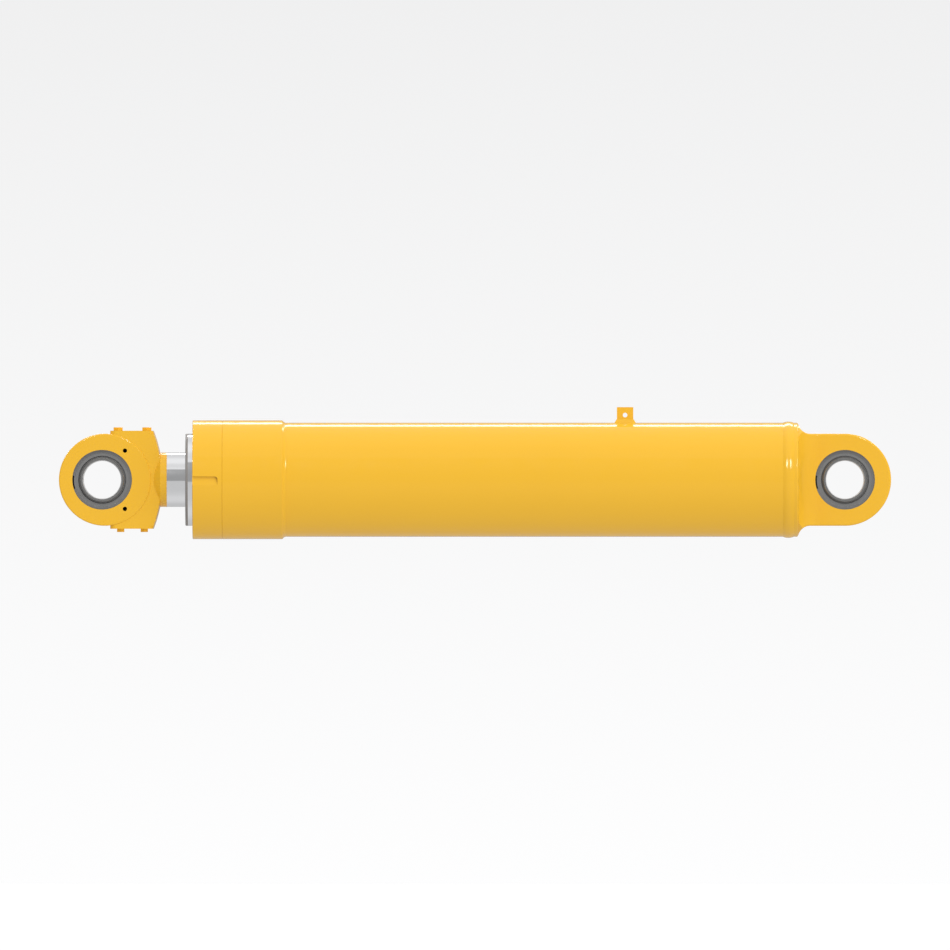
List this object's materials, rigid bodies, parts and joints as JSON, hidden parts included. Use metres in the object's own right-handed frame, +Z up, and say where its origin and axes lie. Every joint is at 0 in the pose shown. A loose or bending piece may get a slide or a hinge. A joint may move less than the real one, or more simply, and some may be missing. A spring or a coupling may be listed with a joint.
{
  "type": "telescopic hydraulic cylinder",
  "caption": "Two-stage telescopic hydraulic cylinder with a spherical bearing in each eye, oil ports in the rod eye and a yellow barrel.",
  "frame": {"origin": "centre of the base eye's bearing bore, on the cylinder axis", "axes": "+X along the cylinder axis from the rod eye to the base eye, +Y along the pin, +Z up with the line bracket on top"},
  "size_m": [2.8004, 0.4, 0.4445],
  "materials": {
    "yellow_paint": "gloss",
    "painted_bolts": "gloss",
    "stage_chrome": "polished",
    "rod_chrome": "polished",
    "bearing_outer_steel": "satin",
    "bearing_inner_steel": "satin",
    "spring_steel": "satin",
    "machined_steel": "turned",
    "bronze": "turned",
    "wear_ring_plastic": "matte",
    "wiper_polyurethane": "matte",
    "seal_polyurethane": "satin",
    "black_rubber": "matte"
  },
  "bodies": {
    "barrel": {"barrel_tube": "yellow_paint", "head_collar": "yellow_paint", "head_ring": "yellow_paint", "gland_wiper": "wiper_polyurethane", "gland_seal": "seal_polyurethane", "gland_guide_bush": "bronze", "gland_o_ring": "black_rubber", "base_eye": "yellow_paint", "base_weld": "yellow_paint", "line_bracket": "yellow_paint", "bracket_weld": "yellow_paint", "base_bearing_outer_ring": "bearing_outer_steel", "base_bearing_seals": "black_rubber", "base_retaining_rings": "spring_steel"},
    "base_ball": {"base_bearing_inner_ring": "bearing_inner_steel"},
    "first_stage": {"stage_sleeve": "stage_chrome", "stage_piston": "machined_steel", "stage_piston_seal": "seal_polyurethane", "stage_wear_rings": "wear_ring_plastic", "stage_gland": "machined_steel", "stage_gland_wiper": "wiper_polyurethane", "stage_gland_seal": "seal_polyurethane", "stage_gland_bush": "bronze", "stage_gland_o_ring": "black_rubber"},
    "rod": {"rod_tube": "rod_chrome", "feed_tube": "machined_steel", "rod_piston": "machined_steel", "rod_piston_seal": "seal_polyurethane", "rod_wear_rings": "wear_ring_plastic", "piston_nut": "machined_steel", "rod_eye": "yellow_paint", "large_port_bolts": "painted_bolts", "small_port_bolts": "painted_bolts", "rod_bearing_outer_ring": "bearing_outer_steel", "rod_bearing_seals": "black_rubber", "rod_retaining_rings": "spring_steel"},
    "rod_ball": {"rod_bearing_inner_ring": "bearing_inner_steel"}
  },
  "joints": [
    {"name": "stage_slide", "type": "slide", "parent": "barrel", "child": "first_stage", "axis": [-1, 0, 0], "range_m": [0, 1.6]},
    {"name": "rod_slide", "type": "slide", "parent": "first_stage", "child": "rod", "axis": [-1, 0, 0], "range_m": [0, 1.6]},
    {"name": "base_bearing_swivel", "type": "hinge", "parent": "barrel", "child": "base_ball", "pos_m": [0, 0, 0], "axis": [0, 1, 0], "continuous": true},
    {"name": "rod_bearing_swivel", "type": "hinge", "parent": "rod", "child": "rod_ball", "pos_m": [-2.5, 0, 0], "axis": [0, 1, 0], "continuous": true}
  ]
}
